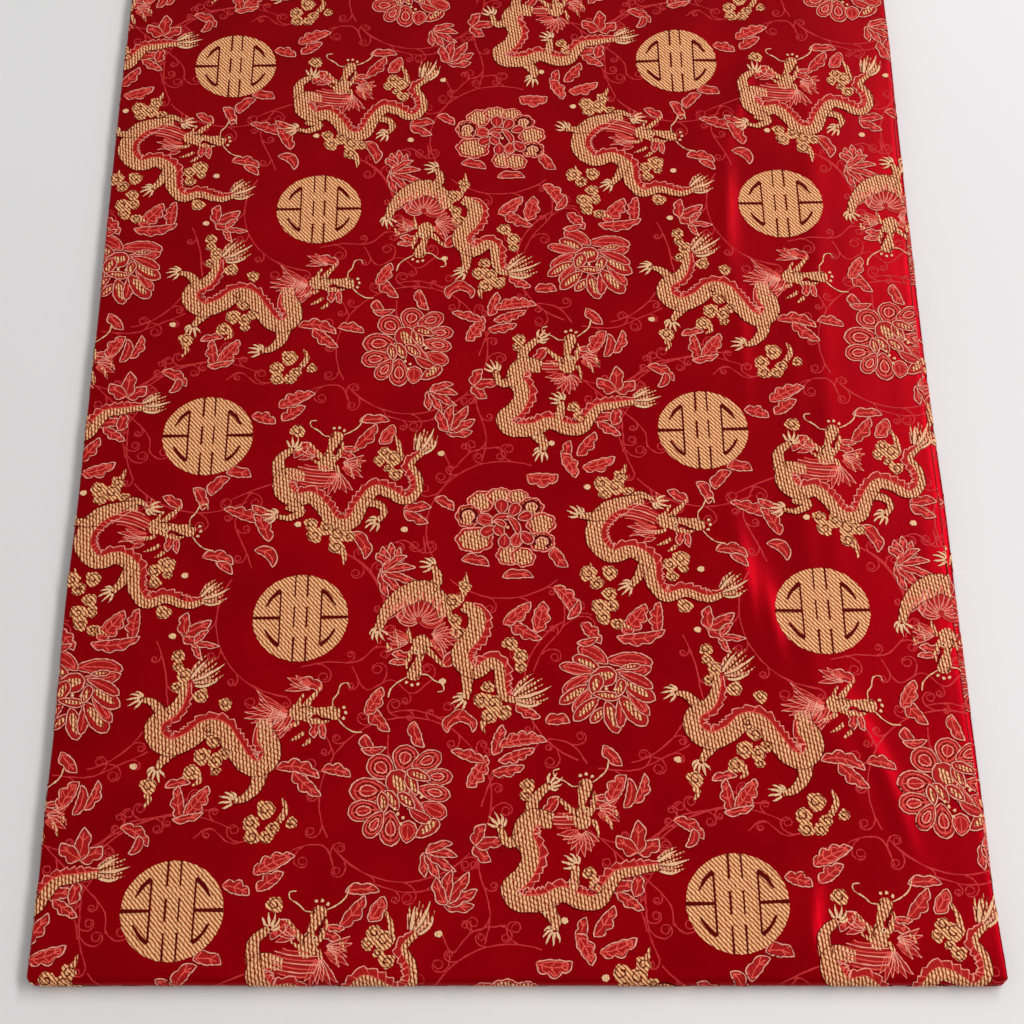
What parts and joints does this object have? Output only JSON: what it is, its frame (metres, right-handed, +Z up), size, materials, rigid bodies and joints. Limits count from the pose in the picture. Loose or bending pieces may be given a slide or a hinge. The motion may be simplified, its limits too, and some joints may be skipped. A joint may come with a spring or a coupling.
{
  "type": "folded silk brocade fabric",
  "caption": "Cut length of silk brocade, side edges folded under and then folded in half, lying flat as a soft layered panel.",
  "frame": {"origin": "middle of the bounding box's underside, on the surface that the folded cloth lies on", "axes": "+X to the right across the panel, +Y along the panel away from the near fold, +Z up"},
  "size_m": [0.3677, 0.5, 0.0086],
  "materials": {
    "brocade": "deep red satin ground with gold and rose woven figures"
  },
  "bodies": {
    "root": {"silk_cloth": "brocade"}
  },
  "joints": []
}
